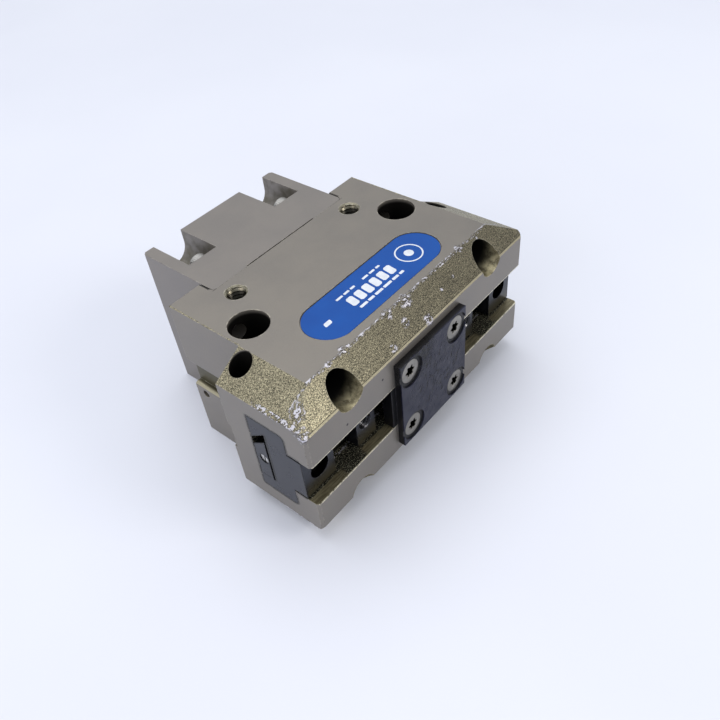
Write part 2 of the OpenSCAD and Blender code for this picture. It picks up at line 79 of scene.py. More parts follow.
# ---------------------------------------------------------------- node graphs
class Finish:
    """One material's node graph. Every call returns the socket that carries its result."""

    def __init__(self, name, color, metallic, roughness):
        self.mat = bpy.data.materials.new(name)
        self.mat.use_nodes = True
        self.tree = self.mat.node_tree
        self.shader = self.tree.nodes["Principled BSDF"]
        self.shader.inputs["Base Color"].default_value = (*color, 1)
        self.shader.inputs["Metallic"].default_value = metallic
        self.shader.inputs["Roughness"].default_value = roughness
        self.coord = self.tree.nodes.new("ShaderNodeTexCoord")
        self.place = self.coord.outputs["Object"]

    def put(self, kind, inputs=(), **settings):
        node = self.tree.nodes.new(kind)
        for key, value in settings.items():
            setattr(node, key, value)
        for key, value in dict(inputs).items():
            if isinstance(value, bpy.types.NodeSocket):
                self.tree.links.new(value, node.inputs[key])
            else:
                node.inputs[key].default_value = value
        return node

    def math(self, operation, a, b=0.0, c=0.0):
        node = self.put("ShaderNodeMath", {0: a, 1: b, 2: c}, operation=operation)
        return node.outputs[0]

    def times(self, *factors):
        out = factors[0]
        for f in factors[1:]:
            out = self.math("MULTIPLY", out, f)
        return out

    def either(self, *masks):
        out = masks[0]
        for m in masks[1:]:
            out = self.math("MAXIMUM", out, m)
        return out

    def invert(self, mask):
        return self.math("SUBTRACT", 1.0, mask)

    def ramp(self, value, low, high):
        """0 where value is below low and 1 where it is above high, smooth between."""
        node = self.put("ShaderNodeMapRange", {0: value, 1: low, 2: high},
                        interpolation_type="SMOOTHSTEP")
        return node.outputs[0]

    def slope(self, value, low_mm, high_mm):
        """The same for a coordinate, between two values in millimetres."""
        return self.ramp(value, low_mm * MM, high_mm * MM)

    def over(self, value, limit_mm):
        return self.math("GREATER_THAN", value, limit_mm * MM)

    def under(self, value, limit_mm):
        return self.math("LESS_THAN", value, limit_mm * MM)

    def gap(self, value, target_mm):
        """Signed distance of a coordinate from a value in millimetres."""
        return self.math("SUBTRACT", value, target_mm * MM)

    def span(self, value, low_mm, high_mm):
        """1 where a coordinate lies between two values in millimetres."""
        middle, half = (low_mm + high_mm) / 2, (high_mm - low_mm) / 2
        return self.math("COMPARE", value, middle * MM, half * MM)

    def within(self, gap_a, gap_b, radius_mm):
        """1 within the radius of an axis, from the distances across it."""
        squares = self.math("ADD", self.times(gap_a, gap_a), self.times(gap_b, gap_b))
        return self.math("LESS_THAN", squares, (radius_mm * MM) ** 2)

    def axes(self):
        node = self.put("ShaderNodeSeparateXYZ", {0: self.place})
        return node.outputs

    def normal_axes(self):
        node = self.put("ShaderNodeSeparateXYZ", {0: self.coord.outputs["Normal"]})
        return node.outputs

    def stretched(self, scale, turn=(0, 0, 0)):
        node = self.put("ShaderNodeMapping", {0: self.place}, vector_type="TEXTURE")
        node.inputs["Rotation"].default_value = [math.radians(t) for t in turn]
        node.inputs["Scale"].default_value = scale
        return node.outputs[0]

    def noise(self, size_mm, detail=2.0, rough=0.5, place=None):
        node = self.put("ShaderNodeTexNoise", {
            "Vector": place or self.place, "Scale": 1 / (size_mm * MM),
            "Detail": detail, "Roughness": rough})
        return node.outputs[0]

    def patches(self, size_mm, low, high, detail=3, rough=0.7):
        """1 in irregular patches of about a size, and 0 between them."""
        return self.ramp(self.noise(size_mm, detail, rough), low, high)

    def scale(self, color, factor):
        node = self.put("ShaderNodeVectorMath", {0: color, "Scale": factor}, operation="SCALE")
        return node.outputs[0]

    def mix(self, mask, a, b):
        node = self.put("ShaderNodeMix", data_type="RGBA")
        for slot, value in ((0, mask), (6, a), (7, b)):
            if isinstance(value, bpy.types.NodeSocket):
                self.tree.links.new(value, node.inputs[slot])
            elif slot:
                node.inputs[slot].default_value = (*value, 1)
            else:
                node.inputs[slot].default_value = value
        return node.outputs[2]

    def blend(self, mask, a, b):
        node = self.put("ShaderNodeMix", {0: mask, 2: a, 3: b})
        return node.outputs[0]

    def arris(self, radius_mm):
        """1 on the sharp edges, falling to 0 within the radius."""
        bevel = self.put("ShaderNodeBevel", {"Radius": radius_mm * MM}, samples=6)
        true = self.put("ShaderNodeNewGeometry").outputs["Normal"]
        dot = self.put("ShaderNodeVectorMath", {0: bevel.outputs[0], 1: true},
                       operation="DOT_PRODUCT")
        return self.ramp(self.invert(dot.outputs["Value"]), 0.004, 0.05)

    def blob(self, centre, radius_mm):
        """1 at a point in millimetres, falling to 0 at the radius."""
        gap = self.put("ShaderNodeVectorMath", {0: self.place, 1: Vector(centre) * MM},
                       operation="DISTANCE")
        return self.slope(gap.outputs["Value"], radius_mm, 0.0)

    def round_edges(self, radius_mm):
        """Shades the edges as if they were broken to the radius."""
        bevel = self.put("ShaderNodeBevel", {"Radius": radius_mm * MM}, samples=6)
        self.set("Normal", bevel.outputs[0])

    def set(self, socket, value):
        self.tree.links.new(value, self.shader.inputs[socket])

    def bump(self, height, depth_mm, strength=1.0):
        last = self.shader.inputs["Normal"].links
        inputs = {"Height": height, "Distance": depth_mm * MM, "Strength": strength}
        if last:
            inputs["Normal"] = last[0].from_socket
        self.set("Normal", self.put("ShaderNodeBump", inputs).outputs[0])


# ---------------------------------------------------------------- body finishes
# Places of the scuffs on the front chamfer and round the front left corner, in mm
SCUFFS = [
    ((-0.9, -35.5, 51.2), 3.4), ((-5.2, -38.6, 48.1), 2.2), ((-13.4, -40.6, 46.0), 1.8),
    ((1.7, -41.0, 45.2), 2.6), ((-25.3, -34.5, 52.0), 2.4), ((-8.2, -34.9, 51.8), 2.6),
    ((17.7, -38.3, 48.3), 1.0), ((11.6, -38.6, 48.0), 0.8), ((26.2, -34.6, 52.0), 2.2),
    ((-46.8, -37.2, 48.8), 3.4), ((-49.5, -41.3, 45.8), 3.8), ((-44.8, -36.0, 50.0), 1.8),
    ((-32.0, -34.6, 51.9), 1.4), ((34.0, -35.4, 51.4), 1.2),
]
# Small dark pits in the front face of the upper rail, in mm
PITS = [(-35.3, -42.0, 37.2), (-20.3, -42.0, 40.8)]
SATIN = (0.190, 0.180, 0.158)
GOLD = (0.300, 0.272, 0.182)
SILVER = (0.58, 0.57, 0.62)
# painted shade: the near black put in gaps, deep holes and the depths of bores
SHADE_BLACK = (0.010, 0.009, 0.008)

FRONT_NORMAL_Y = -0.712            # y of the front chamfer's normal
SIDE_NORMAL_Z = 0.869              # z of the side chamfer's normal
# Brightness of the chamfers: the front one at its left end, left of the plate and on the right,
# and the side one; the front one's fall from left to right is painted reflected light, partly also
# its own darker finish on the right
LEFT_TONE, MIDDLE_TONE, RIGHT_TONE, SIDE_TONE = 1.25, 0.60, 0.42, 0.76


class Spot:
    """Where the shaded point lies: coordinates, distances from the two middle planes, normal."""

    def __init__(self, f):
        self.x, self.y, self.z = f.axes()
        self.nx, self.ny, self.nz = f.normal_axes()
        self.side = f.math("ABSOLUTE", self.x)
        self.level = f.math("ABSOLUTE", f.gap(self.z, MID))
        self.flat = f.math("ABSOLUTE", self.nz)
        self.level_face = f.math("GREATER_THAN", self.flat, 0.9)
        self.end_face = f.over(self.side, END - 0.1)


def front_chamfer(f, s):
    facing = f.math("COMPARE", s.ny, FRONT_NORMAL_Y, 0.03)
    return f.times(facing, f.math("GREATER_THAN", s.flat, 0.3))


def side_chamfer(f, s):
    facing = f.math("COMPARE", s.flat, SIDE_NORMAL_Z, 0.012)
    return f.times(facing, f.over(s.side, NECK - 0.4))


def slot_walls(f, s):
    """The walls of the T-slot, of the gap between the rails and of the room behind."""
    along = f.math("LESS_THAN", f.math("ABSOLUTE", s.nx), 0.5)
    return f.times(f.span(s.level, -1, SLOT + 0.25), f.span(s.y, RAIL + 0.02, RAIL + 31), along)


def bores(f, s):
    """The walls of the front counterbores."""
    around = f.within(f.gap(s.side, BOLT[0]), f.gap(s.level, BOLT[1]), BOLT_HEAD_R + 0.08)
    return f.times(f.span(s.y, RAIL - 1, RAIL + 20.3), around)


def deep_holes(f, s):
    """The holes square to the broad faces, from a little below their mouths, which are painted
    dark as shade.
    """
    cross = f.within(f.gap(s.side, CROSS[0]), f.gap(s.y, CROSS[1]), CROSS_R + WALL)
    cross = f.times(cross, f.slope(s.level, FACE - 0.25, FACE - 1.6))
    fall = f.times(f.gap(s.side, NECK), 0.57)
    mouth = f.math("ADD", s.level, fall)
    side = f.within(f.gap(s.side, SIDE_HOLE[0]), f.gap(s.y, SIDE_HOLE[1]), SIDE_HOLE_R + WALL)
    return f.either(cross, f.times(side, f.slope(mouth, FACE - 0.1, FACE - 0.8)))


def hole_lips(f, s):
    """The broken edges round the cross bores, and round the tapped holes' mouths, where a
    highlight is painted.
    """
    lip_highlights = []
    for (x, y), radius in ((CROSS, CROSS_R), (TAP, TAP_R)):
        place = (f.gap(s.side, x), f.gap(s.y, y))
        ring = f.math("SUBTRACT", f.within(*place, radius + 0.22), f.within(*place, radius - 0.1))
        lip_highlights.append(ring)
    return f.times(f.either(*lip_highlights), f.span(s.level, FACE - 0.3, FACE + 0.1))


def ground_metal(f, grain, pale, dark):
    """Satin ground: a faint cloudiness and a fine grain."""
    cloud = f.noise(14, 3, 0.6)
    color = f.mix(f.ramp(cloud, 0.3, 0.7), dark, pale)
    return f.mix(f.times(f.ramp(grain, 0.35, 0.75), 0.25), color, (0.25, 0.24, 0.215)), cloud


def blasted_gold(f, s, grit, front):
    """Blasted chamfers: fine hollows and tips; the front one is painted paler towards the left and
    darker to the right, as reflected light.
    """
    # painted reflected light: the front chamfer is paler at its left and darker to the right
    left = f.blend(f.slope(s.x, -50, -21), LEFT_TONE, MIDDLE_TONE)
    tone = f.blend(front, SIDE_TONE, f.blend(f.slope(s.x, -26, 14), left, RIGHT_TONE))
    hollow = f.times(f.ramp(grit, 0.50, 0.36), 0.85)
    tip = f.times(f.ramp(grit, 0.52, 0.66), 1.25)
    grains = f.math("SUBTRACT", f.math("ADD", 1.0, tip), hollow)
    patch = f.blend(f.patches(5, 0.3, 0.7, rough=0.6), 0.90, 1.08)
    return f.scale(GOLD, f.times(tone, grains, patch))


def slot_color(f, s):
    """A bright machined strip along the front of the ledges; the walls behind it are painted dark
    as shade, with painted glints.
    """
    streaks = f.noise(0.5, 3, 0.6, f.stretched((8, 1, 1)))
    strip = f.mix(f.ramp(streaks, 0.35, 0.65), (0.120, 0.103, 0.060), (0.225, 0.200, 0.126))
    speck = f.noise(0.33, 3, 0.74)
    # painted shade on the walls behind the strip, with painted glints of light
    shade_and_glints = f.mix(f.ramp(speck, 0.46, 0.60), (0.007, 0.007, 0.005), (0.078, 0.074, 0.048))
    shade_and_glints = f.mix(f.ramp(speck, 0.57, 0.62), shade_and_glints, (0.58, 0.56, 0.42))
    # painted shade: the strip ends raggedly beside the jaws' key groove, and a painted shadow runs
    # along the bottom of the jaws
    torn = f.times(f.math("SUBTRACT", f.noise(1.6, 4, 0.7), 0.5), 7 * MM)
    ragged = f.math("ADD", s.side, torn)
    patch = f.times(f.slope(ragged, 28.0, 30.0), f.slope(ragged, 38.8, 36.8))
    foot_shadow = f.math("ADD", s.y, f.times(torn, 0.12))
    foot_shadow = f.slope(foot_shadow, RAIL + JAW_D - 0.75, RAIL + JAW_D - 0.35)
    ledge = f.times(f.span(s.level, MOUTH - 0.2, MOUTH + 0.2),
                    f.span(s.y, RAIL - 1, RAIL + JAW_D + 0.05))
    return f.mix(f.times(ledge, f.invert(f.either(patch, foot_shadow))), shade_and_glints, strip)


def bore_color(f, s):
    """Turned brassy walls with bright blotches as painted reflections, painted darker with depth
    as shade.
    """
    wall = f.mix(f.patches(2.2, 0.35, 0.65, rough=0.6), (0.160, 0.140, 0.084),
                 (0.470, 0.420, 0.265))
    wall = f.mix(f.patches(0.35, 0.55, 0.70), wall, (0.40, 0.37, 0.26))
    # painted shade: the walls go to near black with depth
    return f.mix(f.slope(s.y, RAIL + 1.4, RAIL + 6.8), wall, SHADE_BLACK)


def neck_rims(f, s):
    """The narrow part's upper edges, which are as rough as the chamfers."""
    rim = f.times(f.span(s.side, NECK - 0.45, NECK + 0.1), s.level_face, f.span(s.y, -11, 18))
    return f.times(rim, f.patches(1.6, 0.36, 0.52))


def side_recess(f, s, color):
    """The recess in each side: a floor painted dark olive as shade, and rounded edges painted pale
    as a highlight.
    """
    recess = f.times(f.span(s.side, NECK - 2.3, NECK - 0.1), f.span(s.level, -1, 5.7),
                     f.span(s.y, -10.9, 18))
    shade = f.mix(f.slope(s.side, NECK - 1.7, NECK - 0.7), (0.085, 0.077, 0.046),
                  (0.370, 0.340, 0.238))
    return f.mix(recess, color, shade)


def rail_edges(f, s, front, color):
    """A pale strip with a fine dark line below the front chamfer, and a painted highlight along
    the ledges' front edges.
    """
    strip = f.times(front, f.span(s.level, FRONT_EDGE, FRONT_EDGE + 0.42))
    line = f.times(front, f.span(s.level, FRONT_EDGE + 0.42, FRONT_EDGE + 0.56))
    color = f.mix(f.times(strip, 0.75), color, (0.40, 0.365, 0.255))
    color = f.mix(f.times(line, 0.80), color, (0.040, 0.035, 0.022))
    # painted highlight along the ledges' front edge
    lip_highlight = f.times(f.span(s.level, MOUTH - 0.3, MOUTH + 0.28), f.span(s.y, RAIL - 0.1, RAIL + 0.3))
    return f.mix(f.times(lip_highlight, f.patches(0.9, 0.34, 0.50)), color, (0.80, 0.75, 0.58)), lip_highlight


def edge_wear(f, s, color):
    """Edges worn bright in some stretches and dark in others, and a painted highlight on the rims
    of the holes.
    """
    edge = f.arris(0.40)
    bright = f.times(edge, f.patches(2.2, 0.42, 0.62, detail=4), 0.45)
    dark = f.times(edge, f.patches(0.9, 0.55, 0.63), 0.7)
    # painted highlight on the rims of the holes
    lip_highlights = f.times(hole_lips(f, s), f.patches(2.4, 0.48, 0.60), 0.6)
    color = f.mix(f.either(bright, lip_highlights), color, (0.50, 0.47, 0.38))
    return f.mix(dark, color, (0.030, 0.027, 0.022)), bright


def scuffs(f, s, bore):
    """Masks of the flakes worn to the bare metal, and of the dark marks round them."""
    torn = f.noise(0.85, 3, 0.66, f.stretched((1.5, 1, 1)))
    area = f.either(*[f.blob(centre, radius) for centre, radius in SCUFFS])
    low_edge = f.times(f.span(s.level, SIDE_EDGE - 0.3, SIDE_EDGE + 0.7),
                       f.span(s.x, -END - 1, -END + 1.8), f.slope(s.y, -19, -30))
    high_edge = f.times(f.span(s.y, RAIL + CHAMFER_D - 0.4, RAIL + CHAMFER_D + 0.5),
                        f.span(s.side, -1, 47), s.flat, 0.42)
    area = f.times(f.either(area, f.times(low_edge, 0.6), high_edge), f.invert(bore))
    patchy = f.math("ADD", area, f.math("SUBTRACT", f.noise(1.5, 3, 0.7), 0.58))
    worn = f.times(f.ramp(patchy, 0.05, 0.40), f.math("GREATER_THAN", area, 0.02))
    flake = f.times(worn, f.ramp(torn, 0.505, 0.550))
    nick = f.times(worn, f.ramp(torn, 0.440, 0.480), f.invert(flake), 0.85)
    return flake, nick


def dark_gaps(f, s):
    """Painted shade in the seam with the rear cover, the gaps beside it, the slot's ends and the
    deep holes.
    """
    outer = f.times(f.span(s.side, 22.3, COVER_SIDE + 0.4), 0.85)
    inner = f.times(f.span(s.side, 14.6, 22.3), 0.30)
    seam = f.times(f.span(s.y, SEAM_Y - 0.09, SEAM_Y + 0.1), s.level_face, f.either(outer, inner))
    gap = f.times(f.span(s.side, 20, COVER_SIDE + 0.5), f.span(s.y, SEAM_Y + 0.1, EAR_Y + 1),
                  f.under(s.level, FACE - 0.1))
    brink = f.times(f.span(s.side, COVER_SIDE + 0.3, COVER_SIDE + 0.75),
                    f.span(s.y, SEAM_Y + 1.6, EAR_Y), s.level_face, 0.9)
    mouth = f.times(s.end_face, f.span(s.level, -1, SLOT + 0.75), f.span(s.y, RAIL + 4, RAIL + 24))
    mouth = f.times(mouth, f.arris(1.5), f.patches(1.1, 0.34, 0.44), 0.95)
    return f.either(seam, gap, brink, mouth, deep_holes(f, s))


def housing_finish():
    f = Finish("hard_anodised_housing", SATIN, 0.62, 0.42)
    s = Spot(f)
    front, slot = front_chamfer(f, s), slot_walls(f, s)
    chamfer = f.either(front, side_chamfer(f, s))
    bore = f.times(bores(f, s), f.invert(chamfer))
    grain, grit = f.noise(0.35, 3, 0.7), f.noise(0.30, 2, 0.62)

    color, cloud = ground_metal(f, grain, (0.222, 0.203, 0.179), (0.200, 0.184, 0.166))
    color = f.mix(f.either(chamfer, neck_rims(f, s)), color, blasted_gold(f, s, grit, front))
    color = f.mix(slot, color, slot_color(f, s))
    color = f.mix(bore, color, bore_color(f, s))
    color = side_recess(f, s, color)
    color, lip_highlight = rail_edges(f, s, front, color)
    color, bright_edge = edge_wear(f, s, color)
    flake, nick = scuffs(f, s, bore)
    pits = f.either(*[f.ramp(f.blob(centre, 0.7), 0.3, 0.6) for centre in PITS])
    color = f.mix(flake, color, SILVER)
    color = f.mix(f.either(nick, pits), color, (0.030, 0.026, 0.028))
    # painted shade in the gaps, the seam and the deep holes
    f.set("Base Color", f.mix(dark_gaps(f, s), color, SHADE_BLACK))

    rough = f.blend(f.either(chamfer, slot, bore), f.blend(cloud, 0.36, 0.50), 0.42)
    f.set("Roughness", f.blend(f.either(flake, bright_edge, lip_highlight), rough, 0.30))
    f.round_edges(0.20)
    f.bump(grain, 0.012, 0.5)
    f.bump(f.times(grit, chamfer), 0.14, 1.0)
    f.bump(f.times(f.noise(0.5, 4, 0.7), slot), 0.06, 0.6)
    f.bump(f.either(flake, f.times(nick, -1.0)), 0.05, 0.7)
    return f.mat


def cover_finish():
    f = Finish("satin_anodised_cover", SATIN, 0.62, 0.42)
    s = Spot(f)
    grain = f.noise(0.35, 3, 0.7)
    color, cloud = ground_metal(f, grain, (0.228, 0.209, 0.193), (0.209, 0.193, 0.181))
    edge = f.arris(0.35)
    color = f.mix(f.times(edge, f.patches(2.5, 0.45, 0.62, detail=4), 0.45), color,
                  (0.46, 0.43, 0.37))
    color = f.mix(f.times(edge, f.patches(1.1, 0.57, 0.65), 0.6), color, (0.035, 0.032, 0.028))
    # painted shade: darker olive patches in the notches of the screws
    notch = f.times(f.span(s.side, 12.8, 24.0), f.span(s.level, 15.5, FACE - 0.3),
                    f.span(s.y, 27, 45))
    color = f.mix(f.times(notch, f.patches(3, 0.3, 0.8, rough=0.5)), color, (0.120, 0.111, 0.083))
    # painted shade in the seam with the housing and in the gaps beside it
    front_gap = f.times(f.under(s.y, SEAM_Y + 0.43), f.span(s.side, -1, 14.7))
    side_gap = f.times(f.over(s.side, COVER_SIDE - 0.4), f.under(s.y, EAR_Y - 0.1),
                       f.math("GREATER_THAN", f.math("ABSOLUTE", s.nx), 0.3))
    painted_shade = f.times(f.either(front_gap, side_gap), f.under(s.level, FACE - 0.2))
    f.set("Base Color", f.mix(painted_shade, color, SHADE_BLACK))
    f.set("Roughness", f.blend(cloud, 0.36, 0.50))
    f.round_edges(0.20)
    f.bump(grain, 0.012, 0.5)
    return f.mat


# ---------------------------------------------------------------- other finishes
def plate_finish():
    f = Finish("worn_black_plate", (0.006, 0.007, 0.018), 0.0, 0.36)
    f.shader.inputs["Specular IOR Level"].default_value = 0.27
    s = Spot(f)
    edge = f.arris(0.45)
    strokes = f.noise(0.7, 3, 0.6, f.stretched((1, 1, 3.0), (0, 28, 0)))
    middle = f.ramp(f.blob((1, -44, 27), 17), 0.0, 0.5)
    scratch = f.times(f.ramp(strokes, 0.60, 0.66), middle)
    dent = f.times(f.ramp(strokes, 0.43, 0.36), middle)
    corner = f.ramp(f.blob((-9, -44, 42), 12), 0.0, 0.5)
    pitted = f.times(f.patches(0.8, 0.46, 0.50, detail=4, rough=0.75), corner)
    color = f.mix(f.patches(6, 0.3, 0.7, rough=0.5), (0.0055, 0.0065, 0.0210),
                  (0.0100, 0.0115, 0.0290))
    # painted shade: the plate's sides, back from its face, are darker
    color = f.mix(f.over(s.y, RAIL - 1.9), color, (0.003, 0.003, 0.004))
    color = f.mix(f.either(f.times(dent, 0.9), pitted), color, (0.001, 0.001, 0.0015))
    color = f.mix(f.times(scratch, 0.6), color, (0.075, 0.075, 0.095))
    color = f.mix(f.times(edge, f.patches(1.2, 0.45, 0.6), 0.4), color, (0.065, 0.065, 0.080))
    f.set("Base Color", color)
    f.set("Roughness", f.blend(f.patches(3, 0.3, 0.7, rough=0.5), 0.28, 0.44))
    f.round_edges(0.25)
    f.bump(f.noise(0.5, 3), 0.02, 0.5)
    f.bump(f.invert(f.either(dent, pitted)), 0.22, 1.0)
    return f.mat


def steel_finish(name, dark, light, roughness, wear_and_glint=(0.45, 0.45, 0.46), painted_shade=None, film=None):
    """A steel, finely cloudy and grained, with worn edges, which on the jaws' threads stand for
    painted glints; the two optional masks paint shade and a reflection of the ledge.
    """
    f = Finish(name, light, 0.85, roughness)
    cloud = f.noise(5, 4, 0.6)
    color = f.mix(f.ramp(cloud, 0.3, 0.7), dark, light)
    color = f.mix(f.times(f.arris(0.35), f.patches(1.5, 0.45, 0.62), 0.6), color, wear_and_glint)
    if film:
        # painted reflection of the golden ledge
        color = f.mix(film(f, Spot(f)), color, (0.120, 0.108, 0.068))
    if painted_shade:
        # painted shade
        color = f.mix(painted_shade(f, Spot(f)), color, (0.004, 0.004, 0.004))
    f.set("Base Color", color)
    f.set("Roughness", f.blend(cloud, roughness - 0.07, roughness + 0.09))
    f.round_edges(0.12)
    f.bump(f.noise(0.4, 3, 0.7), 0.01, 0.5)
    return f.mat


def jaw_shade(f, s):
    """Painted shade on the jaws: in the holes, in the cam's pocket and along the end's outline."""
    holes = [f.within(f.gap(s.side, x), f.gap(s.level, 0.0), radius)
             for x, radius in ((INNER_HOLE, 2.56), (OUTER_HOLE, 3.46))]
    holes = f.times(f.over(s.y, RAIL + JAW_D + 0.15), f.either(*holes))
    low, high = MID + CAM_HEIGHT[0], MID + CAM_HEIGHT[1]
    pocket = f.times(f.span(s.side, CAM_SIDE - 0.3, END - 0.12),
                     f.span(s.y, RAIL + CAM_D[0] - 0.1, RAIL + CAM_D[1] + 0.4),
                     f.span(s.z, low - 0.3, high + 0.3))
    leg = f.times(s.end_face, f.span(s.z, low - 0.1, high + 0.1),
                  f.span(s.y, RAIL + CAM_D[0] - 0.8, RAIL + CAM_D[0] + 0.1))
    ragged = f.noise(0.8, 3, 0.7)
    outline = f.times(s.end_face, f.arris(0.8), f.ramp(ragged, 0.38, 0.46))
    rim = f.times(f.over(s.level, SLOT - 0.45), f.span(s.side, END - 1, END + 1),
                  f.ramp(ragged, 0.40, 0.50), 0.8)
    return f.either(holes, pocket, leg, outline, rim)


def jaw_ledge_reflection(f, s):
    """A painted reflection of the golden ledge, low on the jaws' front faces."""
    low = f.slope(s.z, MID - 1.0, MID - 7.5)
    front = f.math("LESS_THAN", s.ny, -0.9)
    return f.times(low, front, f.span(s.side, 10, END - 0.5), 0.65)


def cam_screw_shade(f, s):
    """The floor of the screwdriver slot, painted dark as shade."""
    return f.under(s.side, END - 0.8)


def plate_screw_shade(f, s):
    """The bottom of the star recess, painted dark as shade."""
    return f.slope(s.y, RAIL - 1.66, RAIL - 1.3)


def thread_shade(f, s):
    """The tapped holes of the broad faces and of the side are painted darker with depth, as shade.
    """
    down = f.slope(s.level, FACE - 0.7, FACE - 2.6)
    inward = f.slope(s.side, NECK - 0.7, NECK - 3.0)
    return f.times(f.blend(f.under(s.side, 30), inward, down), 0.93)


def label_finish():
    f = Finish("printed_blue_label", (0.003, 0.072, 0.370), 0.0, 0.40)
    f.shader.inputs["Specular IOR Level"].default_value = 0.20
    cloud = f.patches(9, 0.3, 0.7, rough=0.5)
    color = f.mix(cloud, (0.0020, 0.061, 0.300), (0.0030, 0.071, 0.330))
    color = f.mix(f.times(f.patches(0.7, 0.68, 0.74), 0.4), color, (0.1, 0.2, 0.45))
    f.set("Base Color", color)
    f.set("Roughness", f.blend(cloud, 0.33, 0.45))
    f.bump(f.noise(0.9, 3), 0.01, 0.4)
    return f.mat


def soft_finish(name, dark, light, roughness):
    f = Finish(name, light, 0.0, roughness)
    cloud = f.patches(2, 0.3, 0.7, detail=4, rough=0.5)
    f.set("Base Color", f.mix(cloud, dark, light))
    f.set("Roughness", f.blend(cloud, roughness - 0.08, roughness + 0.06))
    f.bump(f.noise(0.3, 3), 0.02, 0.5)
    return f.mat


HOUSING = housing_finish()
COVER = cover_finish()
PLATE = plate_finish()
JAW = steel_finish("dark_coated_jaw_steel", (0.027, 0.029, 0.038), (0.041, 0.044, 0.055), 0.28,
                   wear_and_glint=(0.22, 0.22, 0.24), painted_shade=jaw_shade, film=jaw_ledge_reflection)
ZINC = steel_finish("zinc_plated_steel", (0.36, 0.35, 0.33), (0.46, 0.45, 0.43), 0.36,
                    wear_and_glint=(0.60, 0.59, 0.56))
BRIGHT_ZINC = steel_finish("bright_zinc_screw", (0.52, 0.51, 0.50), (0.66, 0.65, 0.63), 0.30,
                           wear_and_glint=(0.80, 0.79, 0.76), painted_shade=cam_screw_shade)
PLATE_SCREW = steel_finish("zinc_plate_screw", (0.215, 0.205, 0.185), (0.300, 0.288, 0.262), 0.36,
                           wear_and_glint=(0.50, 0.48, 0.45), painted_shade=plate_screw_shade)
BLACK = steel_finish("blackened_steel", (0.012, 0.012, 0.014), (0.024, 0.024, 0.027), 0.34,
                     wear_and_glint=(0.12, 0.12, 0.13))
BRIGHT = steel_finish("ground_steel", (0.30, 0.30, 0.31), (0.42, 0.42, 0.43), 0.28)
SPRING = steel_finish("spring_steel", (0.18, 0.18, 0.20), (0.28, 0.28, 0.30), 0.32)
TURNED = steel_finish("turned_aluminium", (0.40, 0.40, 0.42), (0.52, 0.52, 0.54), 0.34)
MAGNET = steel_finish("plated_magnet", (0.27, 0.27, 0.29), (0.36, 0.36, 0.38), 0.26)
RUBBER = soft_finish("seal_rubber", (0.010, 0.010, 0.010), (0.022, 0.022, 0.022), 0.60)
GUIDE = soft_finish("guide_plastic", (0.20, 0.12, 0.06), (0.29, 0.18, 0.09), 0.48)
LABEL = label_finish()
INK = soft_finish("white_ink", (0.60, 0.64, 0.70), (0.70, 0.74, 0.80), 0.42)
THREAD = steel_finish("cut_thread", (0.14, 0.125, 0.085), (0.36, 0.335, 0.25), 0.26,
                      wear_and_glint=(0.66, 0.63, 0.52), painted_shade=thread_shade)
# painted shade and glints: the jaws' threads are near black like the shade in their holes, with
# painted glints on the crests
JAW_THREAD = steel_finish("cut_jaw_thread", (0.010, 0.010, 0.012), (0.045, 0.045, 0.050), 0.24,
                          wear_and_glint=(0.55, 0.55, 0.58))

NODE_FINISH = {
    "housing": HOUSING, "rear_cover": COVER, "cover_seal": RUBBER, "cover_screws": ZINC,
    "centre_plate": PLATE, "plate_screws": PLATE_SCREW,
    "base_jaw_left": JAW, "base_jaw_right": JAW,
    "switch_cam_left": JAW, "switch_cam_right": JAW,
    "cam_screw_left": BRIGHT_ZINC, "cam_screw_right": BRIGHT_ZINC,
    "wedge_hook": BRIGHT, "hook_screw": BLACK, "piston": TURNED, "piston_seal": RUBBER,
    "piston_guide_ring": GUIDE, "piston_magnets": MAGNET, "rod_seal": RUBBER,
    "seal_retainer": BRIGHT, "opening_spring_left": SPRING, "opening_spring_right": SPRING,
    "port_plugs": BLACK, "type_label": LABEL,
}


def paint(obj, material):
    obj.data.materials.clear()
    obj.data.materials.append(material)


for node_name, finish in NODE_FINISH.items():
    paint(NODES[node_name], finish)


# ---------------------------------------------------------------- detailed pieces
def piece(name, verts, faces, body, slot, finish, sharp=30):
    """A mesh in millimetres of the row frame, merged, smooth between its sharp edges."""
    mesh = bpy.data.meshes.new(name)
    mesh.from_pydata([Vector(v) * MM for v in verts], [], faces)
    work = bmesh.new()
    work.from_mesh(mesh)
    bmesh.ops.remove_doubles(work, verts=work.verts, dist=1e-6)
    bmesh.ops.dissolve_degenerate(work, edges=work.edges, dist=1e-7)
    bmesh.ops.recalc_face_normals(work, faces=work.faces)
    work.to_mesh(mesh)
    work.free()
    mesh.shade_smooth()
    mesh.set_sharp_from_angle(angle=math.radians(sharp))
    obj = bpy.data.objects.new(name, mesh)
    bpy.context.scene.collection.objects.link(obj)
    paint(obj, finish)
    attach(obj, body)
    return obj


def standing(origin, out):
    """Turns (radius, angle, height along out) into a point of the row frame, in mm."""
    out = Vector(out)
    first = Vector((1, 0, 0)) if abs(out.x) < 0.5 else Vector((0, 1, 0))
    second = out.cross(first)

    def spot(radius, angle, height):
        turn = first * math.cos(angle) + second * math.sin(angle)
        return Vector(origin) + turn * radius + out * height
    return spot


def lofted(spot, rings, count):
    """Rings of points from radius(angle) and height; the first and last are capped."""
    verts, faces = [], []
    for radius, height in rings:
        for i in range(count):
            angle = math.tau * i / count
            verts.append(spot(radius(angle) if callable(radius) else radius, angle, height))
    for k in range(len(rings) - 1):
        for i in range(count):
            j = (i + 1) % count
            faces.append((k * count + i, k * count + j, (k + 1) * count + j, (k + 1) * count + i))
    faces.append(tuple(range(count)))
    faces.append(tuple((len(rings) - 1) * count + i for i in range(count)))
    return verts, faces


